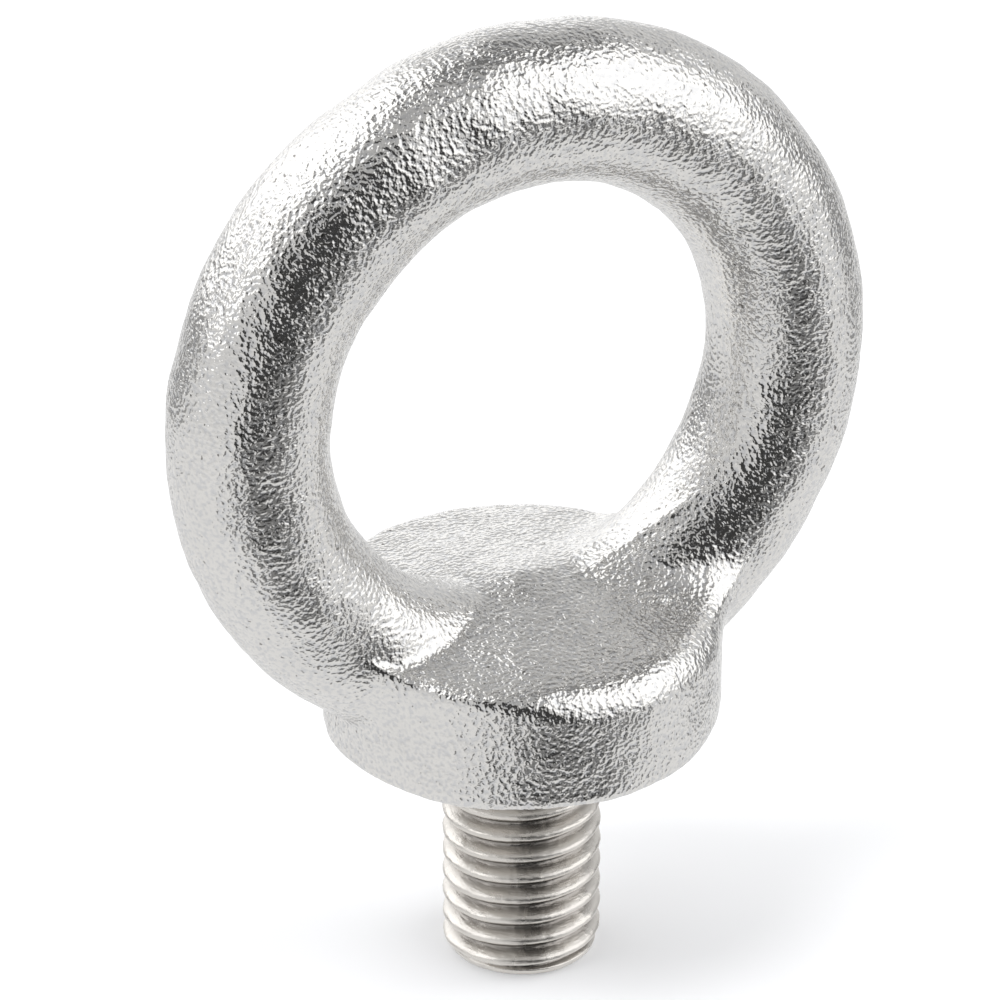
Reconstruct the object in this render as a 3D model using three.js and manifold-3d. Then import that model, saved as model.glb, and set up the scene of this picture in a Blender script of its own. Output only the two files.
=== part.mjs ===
// Lifting eye bolt, M12, of cast stainless steel: a round ring standing on a round collar, with a threaded
// shank below. Millimetres. +Z runs up along the thread, the ring lies in the XZ plane, and the origin is the
// centre of the shank's lower end.

import * as THREE from "three";
import { mergeVertices } from "three/addons/utils/BufferGeometryUtils.js";
import Module from "manifold-3d";

const wasm = await Module();
wasm.setup();

// Thread: standard coarse M12.
const threadDiameter = 12;
const threadPitch = 1.75;
const threadDepth = 0.6134 * threadPitch; // of an ISO metric external thread
const threadFlank = 30; // degrees between a flank and the level
const shankLength = 19; // from the seat to the lower end
const endChamfer = 0.8; // wide and high, at the lower end
const threadStart = 160; // degrees from +X: the way the groove faces where it begins

// Neck: the plain undercut between the thread and the seat.
const neckDiameter = 9.8;
const neckLength = 2;
const neckFillet = 0.6;

// Collar: the round foot whose underside is the seat. Its top is a flat cone, which falls away further in front
// of the ring (towards -Y) than behind it.
const collarDiameter = 29;
const collarWallHeight = 10; // at the back, from the seat to where the cone would meet the wall
const collarFrontDrop = 1.35; // how much lower the rim is at the front
const collarTopSlope = 6.6; // degrees
const collarRimFillet = 1.2;
const collarEdgeFillet = 1;

// Ring: standing upright on the collar, very nearly round in section.
const holeDiameter = 31.3;
const ringThickness = 11.5; // from the hole to the outside
const ringWidth = 11.2; // along the ring's axis
const eyeHeight = 53.6; // from the seat to the top of the ring
const ringFootGap = 0.3; // the ring ends this far above the seat, inside the collar
const rootBlend = 2.2; // how far the fillet between ring and collar reaches

// Fineness of the facets.
const ringSteps = 72;
const sectionSteps = 28;
const collarSteps = 60;
const wallRings = 4;
const topRings = 10;
const threadSteps = 30; // for each turn
const arcSteps = 4; // for each fillet

const radians = THREE.MathUtils.degToRad;
const seatZ = shankLength;
const neckZ = seatZ - neckLength;
const wallRadius = collarDiameter / 2;
const crestRadius = threadDiameter / 2;
const neckRadius = neckDiameter / 2;
const ringRadius = (holeDiameter + ringThickness) / 2; // of the ring's centreline
const ringZ = seatZ + eyeHeight - ringRadius - ringThickness / 2;

// The bare surface, with the vertices that share a place made one.
function welded(geometry) {
  const bare = geometry.clone();
  bare.deleteAttribute("normal");
  bare.deleteAttribute("uv");
  return mergeVertices(bare, 1e-4);
}

// Joins and cuts take closed solids.
function solidOf(geometry) {
  const skin = welded(geometry);
  return new wasm.Manifold(
    new wasm.Mesh({
      numProp: 3,
      vertProperties: new Float32Array(skin.attributes.position.array),
      triVerts: new Uint32Array(skin.index.array),
    }),
  );
}

function geometryOf(solid) {
  const mesh = solid.getMesh();
  const geometry = new THREE.BufferGeometry();
  geometry.setAttribute("position", new THREE.BufferAttribute(mesh.vertProperties, 3));
  geometry.setIndex(new THREE.BufferAttribute(mesh.triVerts, 1));
  const faceted = geometry.toNonIndexed();
  faceted.computeVertexNormals();
  return faceted;
}

// Points of a circle about (x, y), between two angles in degrees.
function arc(x, y, radius, from, to) {
  const points = [];
  for (let i = 0; i <= arcSteps; i++) {
    const angle = radians(from + ((to - from) * i) / arcSteps);
    points.push(new THREE.Vector2(x + radius * Math.cos(angle), y + radius * Math.sin(angle)));
  }
  return points;
}

// A profile of (radius, height) points turned about the Z axis.
function turned(profile, steps) {
  return new THREE.LatheGeometry(profile, steps).rotateX(Math.PI / 2);
}

// Height of the collar's conical top at a distance from the axis, behind the ring.
function collarTopZ(radius) {
  return seatZ + collarWallHeight + (wallRadius - radius) * Math.tan(radians(collarTopSlope));
}

// How much lower the top is at a place in front of the ring.
function topDrop(y) {
  return collarFrontDrop * THREE.MathUtils.clamp(-y / wallRadius, 0, 1);
}

// Signed distances to the two plain shapes, for the fillet between them.
function distanceToRing(p) {
  const outOfCentreline = Math.hypot(p.x, p.z - ringZ) - ringRadius;
  const acrossAxis = (p.y * ringThickness) / ringWidth;
  return Math.hypot(outOfCentreline, acrossAxis) - ringThickness / 2;
}

function distanceToCollar(p) {
  const fromAxis = Math.hypot(p.x, p.y);
  const outOfWall = fromAxis - wallRadius;
  const aboveTop = (p.z + topDrop(p.y) - collarTopZ(fromAxis)) * Math.cos(radians(collarTopSlope));
  const belowSeat = seatZ - p.z;
  const outOfHeight = Math.max(aboveTop, belowSeat);
  const outside = Math.hypot(Math.max(outOfWall, 0), Math.max(outOfHeight, 0));
  return outside + Math.min(Math.max(outOfWall, outOfHeight), 0);
}

// Brings the front of the collar down to its height, and the wall below it in proportion.
function frontLowered(geometry) {
  const { position } = geometry.attributes;
  for (let i = 0; i < position.count; i++) {
    const height = position.getZ(i) - seatZ;
    const share = THREE.MathUtils.clamp(height / collarWallHeight, 0, 1);
    position.setZ(i, seatZ + height - share * topDrop(position.getY(i)));
  }
  return geometry;
}

// Swells a surface outwards where it comes near the other shape, so that the two join in a fillet. What lies
// below the collar's lower edge keeps its shape.
function swell(geometry, distanceToOther) {
  const skin = welded(geometry);
  skin.computeVertexNormals();
  const { position, normal } = skin.attributes;
  const point = new THREE.Vector3();
  const outwards = new THREE.Vector3();
  for (let i = 0; i < position.count; i++) {
    point.fromBufferAttribute(position, i);
    outwards.fromBufferAttribute(normal, i);
    if (point.z < seatZ + collarEdgeFillet) continue;
    const nearness = Math.max(1 - Math.abs(distanceToOther(point)) / rootBlend, 0);
    point.addScaledVector(outwards, (nearness * nearness * rootBlend) / 4);
    position.setXYZ(i, point.x, point.y, point.z);
  }
  return skin;
}

// The ring: its section turned about the Y axis, and cut off level inside the collar.
function ringSolid() {
  const section = [];
  for (let i = 0; i <= sectionSteps; i++) {
    const angle = (2 * Math.PI * i) / sectionSteps;
    const radius = ringRadius + (ringThickness / 2) * Math.cos(angle);
    section.push(new THREE.Vector2(radius, (ringWidth / 2) * Math.sin(angle)));
  }
  section[sectionSteps].copy(section[0]);
  const ring = new THREE.LatheGeometry(section, ringSteps).translate(0, 0, ringZ);
  const footZ = seatZ + ringFootGap;
  const below = new THREE.BoxGeometry(collarDiameter, collarDiameter, footZ).translate(0, 0, footZ / 2);
  return solidOf(swell(ring, distanceToCollar)).subtract(solidOf(below));
}

// The collar with the neck under it: seat, lower edge, wall, rim and conical top.
function collarSolid() {
  const wallBottom = seatZ + collarEdgeFillet;
  const rimRadius = wallRadius - collarRimFillet;
  const wallTop = collarTopZ(rimRadius) - collarRimFillet / Math.cos(radians(collarTopSlope));
  const profile = [new THREE.Vector2(0, neckZ), new THREE.Vector2(neckRadius, neckZ)];
  profile.push(...arc(neckRadius + neckFillet, seatZ - neckFillet, neckFillet, 180, 90));
  profile.push(...arc(wallRadius - collarEdgeFillet, wallBottom, collarEdgeFillet, 270, 360));
  for (let i = 1; i < wallRings; i++) {
    profile.push(new THREE.Vector2(wallRadius, wallBottom + ((wallTop - wallBottom) * i) / wallRings));
  }
  profile.push(...arc(rimRadius, wallTop, collarRimFillet, 0, 90 - collarTopSlope));
  const innerTop = profile[profile.length - 1].x;
  for (let i = 1; i <= topRings; i++) {
    const radius = innerTop * (1 - i / topRings);
    profile.push(new THREE.Vector2(radius, collarTopZ(radius)));
  }
  return solidOf(swell(frontLowered(turned(profile, collarSteps)), distanceToRing));
}

// The groove of the thread: a blunt V swept up a right-handed helix, open at both ends of the shank.
function grooveSolid() {
  const root = crestRadius - threadDepth;
  const overcut = 0.15; // past the crests, with the turns still clear of each other
  const flankSlope = Math.tan(radians(threadFlank));
  const crestHalf = (threadPitch * 7) / 16;
  const rootHalf = crestHalf - threadDepth * flankSlope;
  const openHalf = crestHalf + overcut * flankSlope;
  const section = [
    [root, -rootHalf],
    [crestRadius + overcut, -openHalf],
    [crestRadius + overcut, openHalf],
    [root, rootHalf],
  ];
  const turns = Math.ceil(neckZ / threadPitch) + 2;
  const steps = turns * threadSteps;
  const positions = [];
  const triangles = [];
  for (let i = 0; i <= steps; i++) {
    const angle = (2 * Math.PI * i) / threadSteps + radians(threadStart);
    const height = threadPitch * (i / threadSteps - 1);
    for (const [radius, offset] of section) {
      positions.push(radius * Math.cos(angle), radius * Math.sin(angle), height + offset);
    }
  }
  for (let i = 0; i < steps; i++) {
    for (let j = 0; j < 4; j++) {
      const here = 4 * i + j;
      const next = 4 * i + ((j + 1) % 4);
      triangles.push(here, here + 4, next, next, here + 4, next + 4);
    }
  }
  const last = 4 * steps;
  triangles.push(0, 1, 2, 0, 2, 3);
  triangles.push(last, last + 2, last + 1, last, last + 3, last + 2);
  const groove = new THREE.BufferGeometry();
  groove.setAttribute("position", new THREE.Float32BufferAttribute(positions, 3));
  groove.setIndex(triangles);
  return solidOf(groove);
}

// The shank: a blank with a chamfered end, narrowed to the neck at the top, with the groove cut round it.
function shankSolid() {
  const profile = [
    new THREE.Vector2(0, 0),
    new THREE.Vector2(crestRadius - endChamfer, 0),
    new THREE.Vector2(crestRadius, endChamfer),
    new THREE.Vector2(crestRadius, neckZ - (crestRadius - neckRadius)),
    new THREE.Vector2(neckRadius, neckZ),
    new THREE.Vector2(0, neckZ),
  ];
  return solidOf(turned(profile, threadSteps)).subtract(grooveSolid());
}

const castSteel = new THREE.MeshStandardMaterial({ color: 0xc6c7c8, metalness: 1, roughness: 0.4 });
const machinedSteel = new THREE.MeshStandardMaterial({ color: 0xd0ccc4, metalness: 1, roughness: 0.3 });

const eye = new THREE.Mesh(geometryOf(ringSolid().add(collarSolid())), castSteel);
eye.name = "lifting_eye";

const shank = new THREE.Mesh(geometryOf(shankSolid()), machinedSteel);
shank.name = "threaded_shank";

const eyeBolt = new THREE.Group();
eyeBolt.add(eye, shank);

export default eyeBolt;
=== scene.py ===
"""The looks of the M12 lifting eye bolt: bright cast stainless steel with a cut thread, on a pale floor.

All sizes are in metres, in the frame of the CAD model: +Z up along the thread, the ring in the XZ plane, and
the origin at the centre of the shank's lower end, on the floor.
"""

import math

import bpy
import numpy as np
import openvdb
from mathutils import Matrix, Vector


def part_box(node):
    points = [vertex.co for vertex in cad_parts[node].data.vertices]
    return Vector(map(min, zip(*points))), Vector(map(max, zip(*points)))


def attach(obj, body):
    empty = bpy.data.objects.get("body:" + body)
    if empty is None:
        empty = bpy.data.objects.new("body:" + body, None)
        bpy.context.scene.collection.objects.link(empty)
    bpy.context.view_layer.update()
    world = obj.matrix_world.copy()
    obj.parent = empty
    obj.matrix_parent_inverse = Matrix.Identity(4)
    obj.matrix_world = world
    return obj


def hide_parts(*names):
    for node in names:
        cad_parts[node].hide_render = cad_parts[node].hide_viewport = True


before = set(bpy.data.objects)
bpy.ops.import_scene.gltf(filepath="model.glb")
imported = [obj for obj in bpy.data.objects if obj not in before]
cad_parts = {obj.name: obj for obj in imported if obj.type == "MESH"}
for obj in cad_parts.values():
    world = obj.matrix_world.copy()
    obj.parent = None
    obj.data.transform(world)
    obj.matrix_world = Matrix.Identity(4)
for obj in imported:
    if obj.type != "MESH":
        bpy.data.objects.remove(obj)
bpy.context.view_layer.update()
eye_low, eye_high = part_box("lifting_eye")
shank_low, shank_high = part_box("threaded_shank")

MM = 0.001

# Ring, collar and neck: the outer sizes come from the frame, the rest are the model's driving sizes.
RING_THICKNESS = 11.5 * MM  # from the hole to the outside
RING_WIDTH = 11.2 * MM  # along the ring's axis
COLLAR_WALL_HEIGHT = 10.0 * MM  # behind the ring
COLLAR_FRONT_DROP = 1.35 * MM  # how much lower the rim is at the front
COLLAR_TOP_SLOPE = math.radians(6.6)
NECK_LENGTH = 2.0 * MM
NECK_RADIUS = 4.9 * MM
NECK_BLEND = 1.0 * MM

# Fillets. Three of them are sharp on one side of the casting and full on the other.
RIM_FILLET_SHARP = 0.9 * MM
RIM_FILLET_FULL = 2.1 * MM
RIM_FULL_BEARING = math.radians(17)  # to the right of the front
EDGE_BLEND_SHARP = 0.7 * MM  # round the seat
EDGE_BLEND_FULL = 2.0 * MM
EDGE_BLEND_FROM_X = 2 * MM
EDGE_BLEND_TO_X = 12 * MM
TOP_ROOT_FILLET_SHARP = 0.9 * MM  # between the ring and the collar's top
TOP_ROOT_FILLET_FULL = 4.0 * MM
TOP_ROOT_FROM_X = -6.5 * MM
TOP_ROOT_TO_X = -1.5 * MM
WALL_ROOT_FILLET = 6.0 * MM  # between the ring and the collar's wall
UNDER_ROOT_FILLET = 0.8 * MM  # the same, under the ring's overhang
LEAST_FILLET = 0.02 * MM
TOP_TO_WALL_BLEND = 1.0 * MM  # how gradually the top's fillet becomes the wall's

# Trace of the mould's parting line: it bends forwards on both sides of its middle and fades out at its ends.
SEAM_HEIGHT = 0.16 * MM
SEAM_WIDTH = 0.33 * MM
SEAM_MIDDLE_X = 6 * MM
SEAM_MIDDLE_Y = -1.3 * MM
SEAM_BEND = 35  # for each metre
SEAM_FADE_LEFT = (1.5 * MM, 4 * MM)
SEAM_FADE_RIGHT = (11 * MM, 14 * MM)

# Unevenness of the casting's skin: wavelength, height and random seed.
CAST_RIPPLES = [(7 * MM, 0.05 * MM, 1), (2.4 * MM, 0.014 * MM, 2), (1.1 * MM, 0.007 * MM, 3)]
CAST_GRID = 0.32 * MM

RING_OUTER = (eye_high.x - eye_low.x) / 2
RING_RADIUS = RING_OUTER - RING_THICKNESS / 2
RING_Z = eye_high.z - RING_OUTER
COLLAR_RADIUS = (eye_high.y - eye_low.y) / 2
SEAT_Z = eye_low.z + NECK_LENGTH
COLLAR_RIM_Z = SEAT_Z + COLLAR_WALL_HEIGHT

# Thread: coarse M12, with worn crests. A short plain band and a chamfer end it below.
PITCH = 1.75 * MM
CREST_RADIUS = 5.82 * MM
ROOT_RADIUS = 4.93 * MM
ROOT_HALF_WIDTH = 0.15 * MM
FLANK_SLOPE = 1 / math.tan(math.radians(30))
THREAD_START = math.radians(160)
THREAD_BLEND = 0.3 * MM
BAND_RADIUS = 5.5 * MM
BAND_HEIGHT = 0.45 * MM
BAND_SLOPE = 2.5
END_RADIUS = 5.3 * MM
END_CHAMFER_BLEND = 0.5 * MM
NECK_CHAMFER_BLEND = 0.4 * MM
THREAD_RIPPLES = [(2.2 * MM, 0.012 * MM, 5), (0.7 * MM, 0.006 * MM, 6)]
THREAD_COLUMNS = 240
THREAD_ROWS = 310

# The photograph's viewing angle, and the point that the camera looks at, from the middle of the seat.
CAMERA_AZIMUTH = -27.8
CAMERA_ELEVATION = 26.7
CAMERA_DISTANCE = 0.3847
CAMERA_LENS = 190.3
TARGET_LEFT = 1.58 * MM
TARGET_UP = 15.52 * MM

FLOOR_REACH = 6.0  # from the origin to each side


# ---------------------------------------------------------------------------------------------- shapes


def smooth_min(a, b, reach):
    """The lower of two distances, with a fillet where they come within `reach` of each other."""
    nearness = np.maximum(reach - np.abs(a - b), 0) / reach
    return np.minimum(a, b) - nearness * nearness * reach / 4


def smooth_max(a, b, reach):
    """The higher of two distances, with an edge rounded in the same way."""
    return -smooth_min(-a, -b, reach)


def smooth_step(value, low, high):
    """0 below `low`, 1 above `high`, and a smooth rise between them."""
    share = np.clip((value - low) / (high - low), 0, 1)
    return share * share * (3 - 2 * share)


def collar_distance(x, y, z, from_axis):
    """Signed distance to the collar: a wall, a rounded rim and a conical top, which falls away further in
    front of the ring than behind it. The rim is fuller towards one side, as a hand-dressed casting is. Also
    says which is nearer, the top (1) or the wall (0).
    """
    towards_full = (x * math.sin(RIM_FULL_BEARING) - y * math.cos(RIM_FULL_BEARING)) / from_axis
    rim = RIM_FILLET_SHARP + (RIM_FILLET_FULL - RIM_FILLET_SHARP) * smooth_step(towards_full, 0.5, 1.0)
    out = from_axis - (COLLAR_RADIUS - rim)
    cone_z = COLLAR_RIM_Z + (COLLAR_RADIUS - from_axis) * math.tan(COLLAR_TOP_SLOPE)
    cone_z -= COLLAR_FRONT_DROP * np.clip(-y / COLLAR_RADIUS, 0, 1)
    over = (z - cone_z) * math.cos(COLLAR_TOP_SLOPE) + rim
    corner = np.hypot(np.maximum(out, 0), np.maximum(over, 0))
    distance = corner + np.minimum(np.maximum(out, over), 0) - rim
    topness = np.clip((over - out) / TOP_TO_WALL_BLEND + 0.5, 0, 1)
    return distance, topness


def mould_seam(x, y, z, out):
    """The trace of the mould's parting line that is left on the lower right of the hole: 1 on its crest."""
    seam_y = SEAM_MIDDLE_Y - SEAM_BEND * (x - SEAM_MIDDLE_X) ** 2
    crest = np.exp(-(((y - seam_y) / SEAM_WIDTH) ** 2))
    ends = smooth_step(x, *SEAM_FADE_LEFT) * (1 - smooth_step(x, *SEAM_FADE_RIGHT))
    in_hole = out < 0
    lower_half = z < RING_Z
    return crest * ends * in_hole * lower_half


def eye_distance(p):
    """Signed distance from points to the surface of ring, collar and neck."""
    x, y, z = p[..., 0], p[..., 1], p[..., 2]
    from_hole = np.maximum(np.hypot(x, z - RING_Z), 1e-9)
    out = from_hole - RING_RADIUS
    across = y * RING_THICKNESS / RING_WIDTH
    from_centreline = np.maximum(np.hypot(out, across), 1e-9)
    ring = from_centreline - RING_THICKNESS / 2 - SEAM_HEIGHT * mould_seam(x, y, z, out)
    from_axis = np.maximum(np.hypot(x, y), 1e-9)
    collar, topness = collar_distance(x, y, z, from_axis)

    # A fillet of constant radius reaches less far where the two surfaces meet at a blunt angle, so the slopes
    # of both are compared. Under the ring's overhang the corner with the wall stays sharp.
    ring_slope_x = out / from_centreline * x / from_hole
    ring_slope_y = across / from_centreline
    ring_slope_z = out / from_centreline * (z - RING_Z) / from_hole
    along_wall = (ring_slope_x * x + ring_slope_y * y) / from_axis
    alike = topness * ring_slope_z + (1 - topness) * along_wall
    clear_of_overhang = np.clip(1 + 1.5 * ring_slope_z, 0, 1)
    wall_fillet = UNDER_ROOT_FILLET + (WALL_ROOT_FILLET - UNDER_ROOT_FILLET) * clear_of_overhang
    fuller = smooth_step(x, TOP_ROOT_FROM_X, TOP_ROOT_TO_X)
    top_fillet = TOP_ROOT_FILLET_SHARP + (TOP_ROOT_FILLET_FULL - TOP_ROOT_FILLET_SHARP) * fuller
    fillet = wall_fillet + (top_fillet - wall_fillet) * topness
    reach = fillet * np.clip(1 - alike, 0, 1) + LEAST_FILLET
    inside = np.hypot(np.maximum(reach - ring, 0), np.maximum(reach - collar, 0))
    body = np.maximum(reach, np.minimum(ring, collar)) - inside

    blunter = smooth_step(x, EDGE_BLEND_FROM_X, EDGE_BLEND_TO_X)
    edge_blend = EDGE_BLEND_SHARP + (EDGE_BLEND_FULL - EDGE_BLEND_SHARP) * blunter
    body = smooth_max(body, SEAT_Z - z, edge_blend)
    neck = np.maximum(from_axis - NECK_RADIUS, z - COLLAR_RIM_Z)
    return np.maximum(smooth_min(body, neck, NECK_BLEND), eye_low.z - z)


def outward(distance, p):
    """Unit normals of a distance field at points."""
    step = 0.01 * MM
    slope = np.empty_like(p)
    for axis in range(3):
        offset = np.zeros(3)
        offset[axis] = step
        slope[..., axis] = distance(p + offset) - distance(p - offset)
    return slope / np.maximum(np.linalg.norm(slope, axis=-1, keepdims=True), 1e-12)


def ripple(p, wavelength, height, seed, waves=48):
    """A smooth random unevenness: many plane waves of about one length, in random directions."""
    random = np.random.default_rng(seed)
    directions = random.normal(size=(waves, 3))
    directions /= np.linalg.norm(directions, axis=1, keepdims=True)
    directions *= 2 * math.pi / (wavelength * random.uniform(0.75, 1.35, size=(waves, 1)))
    phases = random.uniform(0, 2 * math.pi, waves)
    total = np.zeros(p.shape[:-1])
    for direction, phase in zip(directions, phases):
        total += np.sin(p @ direction + phase)
    return total * height / math.sqrt(waves / 2)


def new_piece(name, points, faces, material, node):
    """A smooth-shaded mesh object that stands for one CAD node."""
    mesh = bpy.data.meshes.new(name)
    mesh.from_pydata(points.tolist(), [], faces)
    mesh.validate()
    mesh.shade_smooth()
    mesh.materials.append(material)
    piece = bpy.data.objects.new(name, mesh)
    bpy.context.scene.collection.objects.link(piece)
    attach(piece, "root")
    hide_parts(node)
    return piece


def cast_eye(material):
    """Ring, collar and neck as one blended skin, uneven as a blasted casting is. A grid of distances gives
    the faces, whose corners are then moved onto the exact surface.
    """
    margin = 4 * CAST_GRID
    band = 3 * CAST_GRID
    low = np.array(eye_low) - margin
    high = np.array(eye_high) + margin
    axes = [np.arange(low[i], high[i], CAST_GRID) for i in range(3)]
    field = eye_distance(np.stack(np.meshgrid(*axes, indexing="ij"), axis=-1))
    grid = openvdb.FloatGrid(band)
    grid.copyFromArray(np.clip(field, -band, band).astype(np.float32))
    corners, _, quads = grid.convertToPolygons(isovalue=0.0, adaptivity=0.0)
    points = low + corners.astype(float) * CAST_GRID
    for _ in range(3):
        points -= outward(eye_distance, points) * eye_distance(points)[..., None]
    uneven = sum(ripple(points, *wave) for wave in CAST_RIPPLES)
    points += outward(eye_distance, points) * uneven[..., None]
    return new_piece("cast_eye", points, quads[:, ::-1].tolist(), material, "lifting_eye")


def thread_radius(angle, height):
    """Radius of the shank's surface: a rounded V groove wound up a right-handed helix."""
    turns = (height - PITCH * (angle - THREAD_START) / (2 * math.pi)) / PITCH
    from_groove = np.abs(turns - np.round(turns)) * PITCH
    flank = ROOT_RADIUS + (from_groove - ROOT_HALF_WIDTH) * FLANK_SLOPE
    radius = smooth_max(flank, ROOT_RADIUS, THREAD_BLEND)
    radius = smooth_min(radius, CREST_RADIUS, THREAD_BLEND)
    band = BAND_RADIUS - BAND_SLOPE * np.maximum(height - BAND_HEIGHT, 0)
    radius = smooth_max(radius, band, THREAD_BLEND)
    end_chamfer = END_RADIUS + height
    radius = smooth_min(radius, end_chamfer, END_CHAMFER_BLEND)
    neck_chamfer = NECK_RADIUS + (shank_high.z - height)
    return smooth_min(radius, neck_chamfer, NECK_CHAMFER_BLEND)


def cut_thread(material):
    """The shank as a fine skin of rows and columns, closed at both ends."""
    angles = np.linspace(0, 2 * math.pi, THREAD_COLUMNS, endpoint=False)
    heights = np.linspace(shank_low.z, shank_high.z, THREAD_ROWS)
    height, angle = np.meshgrid(heights, angles, indexing="ij")
    radius = thread_radius(angle, height)
    skin = np.stack([radius * np.cos(angle), radius * np.sin(angle), height], axis=-1).reshape(-1, 3)
    wear = sum(ripple(skin, *wave) for wave in THREAD_RIPPLES)
    skin[:, :2] *= (1 + wear / np.hypot(skin[:, 0], skin[:, 1]))[:, None]
    points = np.vstack([skin, [[0, 0, shank_low.z], [0, 0, shank_high.z]]])
    foot, top = len(skin), len(skin) + 1
    last_row = (THREAD_ROWS - 1) * THREAD_COLUMNS
    faces = []
    for j in range(THREAD_COLUMNS):
        k = (j + 1) % THREAD_COLUMNS
        faces.append((foot, k, j))
        faces.append((top, last_row + j, last_row + k))
        for here in range(0, last_row, THREAD_COLUMNS):
            above = here + THREAD_COLUMNS
            faces.append((here + j, here + k, above + k, above + j))
    return new_piece("cut_thread", points, faces, material, "threaded_shank")


# ------------------------------------------------------------------------------------------- materials


class Nodes:
    """Short ways to add and link shader nodes in one tree."""

    def __init__(self, tree):
        self.tree = tree

    def add(self, kind, inputs=None, **settings):
        node = self.tree.nodes.new(kind)
        for name, value in settings.items():
            setattr(node, name, value)
        for name, value in (inputs or {}).items():
            if isinstance(value, bpy.types.NodeSocket):
                self.tree.links.new(value, node.inputs[name])
            else:
                node.inputs[name].default_value = value
        return node

    def math(self, operation, a, b=0.0):
        return self.add("ShaderNodeMath", {0: a, 1: b}, operation=operation).outputs[0]

    def dot(self, a, b):
        return self.add("ShaderNodeVectorMath", {0: a, 1: b}, operation="DOT_PRODUCT").outputs["Value"]

    def noise(self, place, size, detail=2.0, roughness=0.5):
        """Noise whose blobs are about `size` metres across."""
        inputs = {"Vector": place, "Scale": 1 / size, "Detail": detail, "Roughness": roughness}
        return self.add("ShaderNodeTexNoise", inputs).outputs["Fac"]

    def ramp(self, value, low, high, to_low=0.0, to_high=1.0):
        """A smooth change from one value to another while the input goes from `low` to `high`."""
        inputs = {"Value": value, "From Min": low, "From Max": high, "To Min": to_low, "To Max": to_high}
        return self.add("ShaderNodeMapRange", inputs, interpolation_type="SMOOTHSTEP").outputs["Result"]

    def mix(self, share, a, b):
        """Colour `a` where the share is 0, colour `b` where it is 1."""
        node = self.add("ShaderNodeMix", data_type="RGBA")
        for index, value in ((0, share), (6, a), (7, b)):
            if isinstance(value, bpy.types.NodeSocket):
                self.tree.links.new(value, node.inputs[index])
            else:
                node.inputs[index].default_value = value
        return node.outputs[2]

    def bump(self, height, distance, normal=None):
        inputs = {"Height": height, "Distance": distance, "Strength": 1.0}
        if normal is not None:
            inputs["Normal"] = normal
        return self.add("ShaderNodeBump", inputs).outputs["Normal"]


def new_metal(name):
    """An empty metal: its Principled shader, its node helper and the place on the object."""
    material = bpy.data.materials.new(name)
    material.use_nodes = True
    nodes = Nodes(material.node_tree)
    shader = material.node_tree.nodes["Principled BSDF"]
    shader.inputs["Metallic"].default_value = 1.0
    place = nodes.add("ShaderNodeTexCoord").outputs["Object"]
    return material, shader, nodes, place


def connect(material, shader, colour, rough, normal):
    """Links the three patterns of a metal to its shader."""
    links = material.node_tree.links
    links.new(colour, shader.inputs["Base Color"])
    links.new(rough, shader.inputs["Roughness"])
    links.new(normal, shader.inputs["Normal"])


def cast_steel():
    """Bright blasted stainless casting: a fine orange-peel grain with painted shade in its valleys, and a few
    small pits painted dark as shade.
    """
    material, shader, nodes, place = new_metal("cast_steel")
    stained = (0.70, 0.69, 0.672, 1)
    clean = (0.77, 0.757, 0.735, 1)
    # Painted shade: the grain's valleys take this darker grey, as though shade lay in them.
    valley_painted_shade = (0.64, 0.64, 0.645, 1)
    # Painted shade of small pits: dark spots in the colour only, with no depth in the surface.
    pit_painted_shade = (0.25, 0.24, 0.23, 1)
    peel = nodes.noise(place, 0.32 * MM, detail=0.7)
    stain = nodes.noise(place, 3 * MM, detail=3.0)
    # Where the small pits are painted dark, as the shade inside them.
    pit_shade = nodes.ramp(nodes.noise(place, 0.45 * MM, detail=1.0), 0.73, 0.76)
    # Painted shade in the grain's valleys: the colour darkens where the peel noise is low.
    out_of_valley_shade = nodes.ramp(peel, 0.28, 0.6)
    steel = nodes.mix(stain, stained, clean)
    steel = nodes.mix(out_of_valley_shade, valley_painted_shade, steel)
    colour = nodes.mix(pit_shade, steel, pit_painted_shade)
    rough = nodes.ramp(peel, 0.35, 0.65, 0.17, 0.11)
    normal = nodes.bump(peel, 0.118 * MM)
    connect(material, shader, colour, rough, normal)
    return material


def machined_steel():
    """Cut thread: warmer and smoother, with turning marks, grit and painted shade that darkens the roots."""
    material, shader, nodes, place = new_metal("machined_steel")
    stained = (0.66, 0.63, 0.59, 1)
    clean = (0.76, 0.735, 0.70, 1)
    # Painted shade in the thread's roots.
    root_painted_shade = (0.34, 0.32, 0.30, 1)
    axes = nodes.add("ShaderNodeSeparateXYZ", {"Vector": place}).outputs
    x_squared = nodes.math("POWER", axes["X"], 2.0)
    y_squared = nodes.math("POWER", axes["Y"], 2.0)
    from_axis = nodes.math("SQRT", nodes.math("ADD", x_squared, y_squared))
    # Painted shade: the colour darkens from the crests down into the roots of the thread.
    crest = nodes.ramp(from_axis, ROOT_RADIUS, CREST_RADIUS - 0.25 * MM)
    stain = nodes.noise(place, 2.5 * MM, detail=4.0)
    steel = nodes.mix(stain, stained, clean)
    colour = nodes.mix(crest, root_painted_shade, steel)
    flattened = nodes.add("ShaderNodeMapping", {"Vector": place, "Scale": (1.0, 1.0, 12.0)})
    marks = nodes.noise(flattened.outputs["Vector"], 1.2 * MM, detail=3.0, roughness=0.6)
    grit = nodes.noise(place, 0.5 * MM)
    normal = nodes.bump(marks, 0.03 * MM)
    normal = nodes.bump(grit, 0.03 * MM, normal)
    rough = nodes.ramp(stain, 0.3, 0.7, 0.2, 0.34)
    connect(material, shader, colour, rough, normal)
    return material


# ---------------------------------------------------------------------------------------------- studio


def seen_from_camera(azimuth, elevation):
    """A direction given by its angle to the right of the camera's bearing and its height, in degrees."""
    bearing = math.radians(CAMERA_AZIMUTH + azimuth)
    height = math.radians(elevation)
    flat = math.cos(height)
    return Vector((math.sin(bearing) * flat, -math.cos(bearing) * flat, math.sin(height)))


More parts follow.
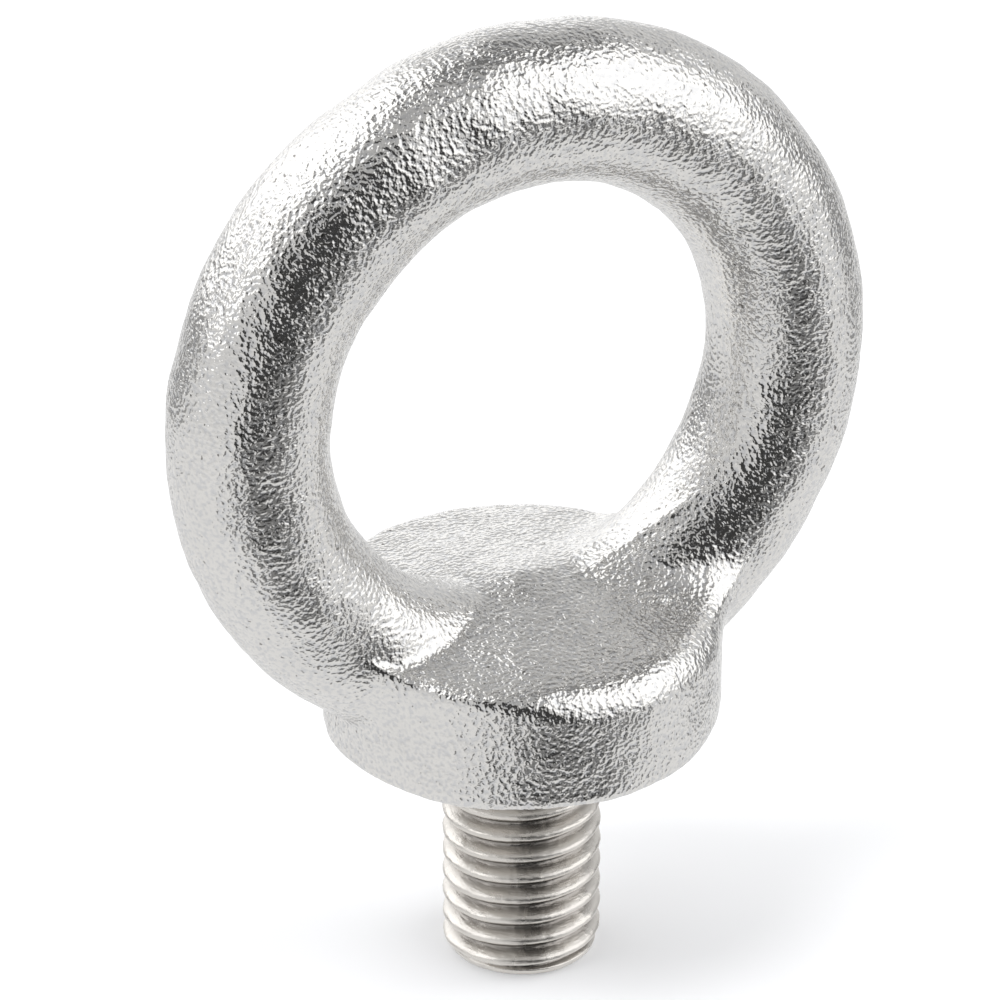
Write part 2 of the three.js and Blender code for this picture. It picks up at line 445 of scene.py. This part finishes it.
def camera():
    view = bpy.data.cameras.new("camera")
    view.lens = CAMERA_LENS
    view.sensor_width = 36
    view.clip_start = 0.01
    view.clip_end = 20
    rig = bpy.data.objects.new("camera", view)
    back = seen_from_camera(0, CAMERA_ELEVATION)
    right = Vector((math.cos(math.radians(CAMERA_AZIMUTH)), math.sin(math.radians(CAMERA_AZIMUTH)), 0))
    up = back.cross(right)
    target = Vector((0, 0, SEAT_Z)) - TARGET_LEFT * right + TARGET_UP * up
    rig.location = target + back * CAMERA_DISTANCE
    rig.rotation_mode = "QUATERNION"
    rig.rotation_quaternion = (-back).to_track_quat("-Z", "Y")
    bpy.context.scene.collection.objects.link(rig)
    bpy.context.scene.camera = rig


def floor():
    """A sheet of matt white paper, which the steel doesn't show."""
    far = FLOOR_REACH
    corners = [(-far, -far, 0), (far, -far, 0), (far, far, 0), (-far, far, 0)]
    mesh = bpy.data.meshes.new("floor")
    mesh.from_pydata(corners, [], [(0, 1, 2, 3)])
    paper = bpy.data.materials.new("floor_paper")
    paper.use_nodes = True
    shader = paper.node_tree.nodes["Principled BSDF"]
    shader.inputs["Base Color"].default_value = (0.93, 0.935, 0.95, 1)
    shader.inputs["Roughness"].default_value = 0.9
    shader.inputs["Specular IOR Level"].default_value = 0.0
    mesh.materials.append(paper)
    sheet = bpy.data.objects.new("floor", mesh)
    sheet.visible_glossy = False
    bpy.context.scene.collection.objects.link(sheet)


# Panels of the studio, the nearest last: bearing from the camera, elevation, width, height, lean and softness
# of the edge, all in degrees, and brightness.
PANELS = [
    ("back ceiling", 157, 73, 67, 28, 34, 11, 0.2),
    ("ceiling strip", -2, 52, 67, 18, -2, 10, 0.56),
    ("left softbox", -124, 39, 48, 69, -11, 12, 1.6),
    ("left strip light", -68, 43, 25, 60, -2, 9, 1.7),
    ("right softbox", 79, 31, 62, 65, 8, 14, 1.5),
    ("black flag", 12, 4, 39, 88, 32, 10, 0.05),
    ("table edge", 31, -32, 75, 24, 18, 16, 0.23),
    ("right stand", 123, -7, 27, 38, -14, 12, 0.32),
    ("left stand", -114, -7, 47, 17, 18, 6, 0.38),
    ("back window", -169, 4, 35, 35, 2, 9, 1.3),
]


def grey(brightness):
    return (brightness, brightness, brightness, 1)


def panel_mask(nodes, way, azimuth, elevation, width, height, lean, softness):
    """1 where a direction falls on a flat rectangular panel, 0 off it, with a soft edge."""
    centre = seen_from_camera(azimuth, elevation)
    side = Vector((0, 0, 1)).cross(centre).normalized()
    top = centre.cross(side)
    turn = math.radians(lean)
    across_panel = side * math.cos(turn) + top * math.sin(turn)
    up_panel = top * math.cos(turn) - side * math.sin(turn)
    blur = math.tan(math.radians(softness)) / 2
    facing = nodes.dot(way, centre)
    mask = nodes.math("GREATER_THAN", facing, 0.0)
    facing = nodes.math("MAXIMUM", facing, 0.001)
    for edge, span in ((across_panel, width), (up_panel, height)):
        across = nodes.math("ABSOLUTE", nodes.math("DIVIDE", nodes.dot(way, edge), facing))
        reach = math.tan(math.radians(span / 2))
        inside = nodes.ramp(across, reach - blur, reach + blur, 1.0, 0.0)
        mask = nodes.math("MULTIPLY", inside, mask)
    return mask


def studio_world():
    """Surroundings for the steel to reflect: a soft grey room with panels. The camera sees plain white."""
    world = bpy.data.worlds.new("studio")
    world.use_nodes = True
    bpy.context.scene.world = world
    tree = world.node_tree
    nodes = Nodes(tree)
    way = nodes.add("ShaderNodeTexCoord").outputs["Generated"]
    up = nodes.add("ShaderNodeSeparateXYZ", {"Vector": way}).outputs["Z"]
    room = nodes.mix(nodes.ramp(up, -0.5, 0.1), grey(0.93), grey(0.78))
    room = nodes.mix(nodes.ramp(up, 0.2, 0.9), room, grey(0.5))
    for _, *place, brightness in PANELS:
        room = nodes.mix(panel_mask(nodes, way, *place), room, grey(brightness))
    paths = nodes.add("ShaderNodeLightPath").outputs
    seen = nodes.mix(paths["Is Camera Ray"], room, grey(1.0))
    tree.links.new(seen, tree.nodes["Background"].inputs["Color"])


def floor_light(name, azimuth, elevation, spread, strength):
    """A soft far light that only lays a shadow on the floor; the steel doesn't show it."""
    light = bpy.data.lights.new(name, "SUN")
    light.angle = math.radians(spread)
    light.energy = strength
    stand = bpy.data.objects.new(name, light)
    stand.rotation_mode = "QUATERNION"
    stand.rotation_quaternion = (-seen_from_camera(azimuth, elevation)).to_track_quat("-Z", "Y")
    stand.visible_glossy = False
    bpy.context.scene.collection.objects.link(stand)


cast_eye(cast_steel())
cut_thread(machined_steel())
floor()
studio_world()
floor_light("left light", -57, 62, 28, 1.0)
floor_light("right light", 112, 48, 30, 0.75)
camera()
bpy.context.scene.view_settings.view_transform = "Standard"
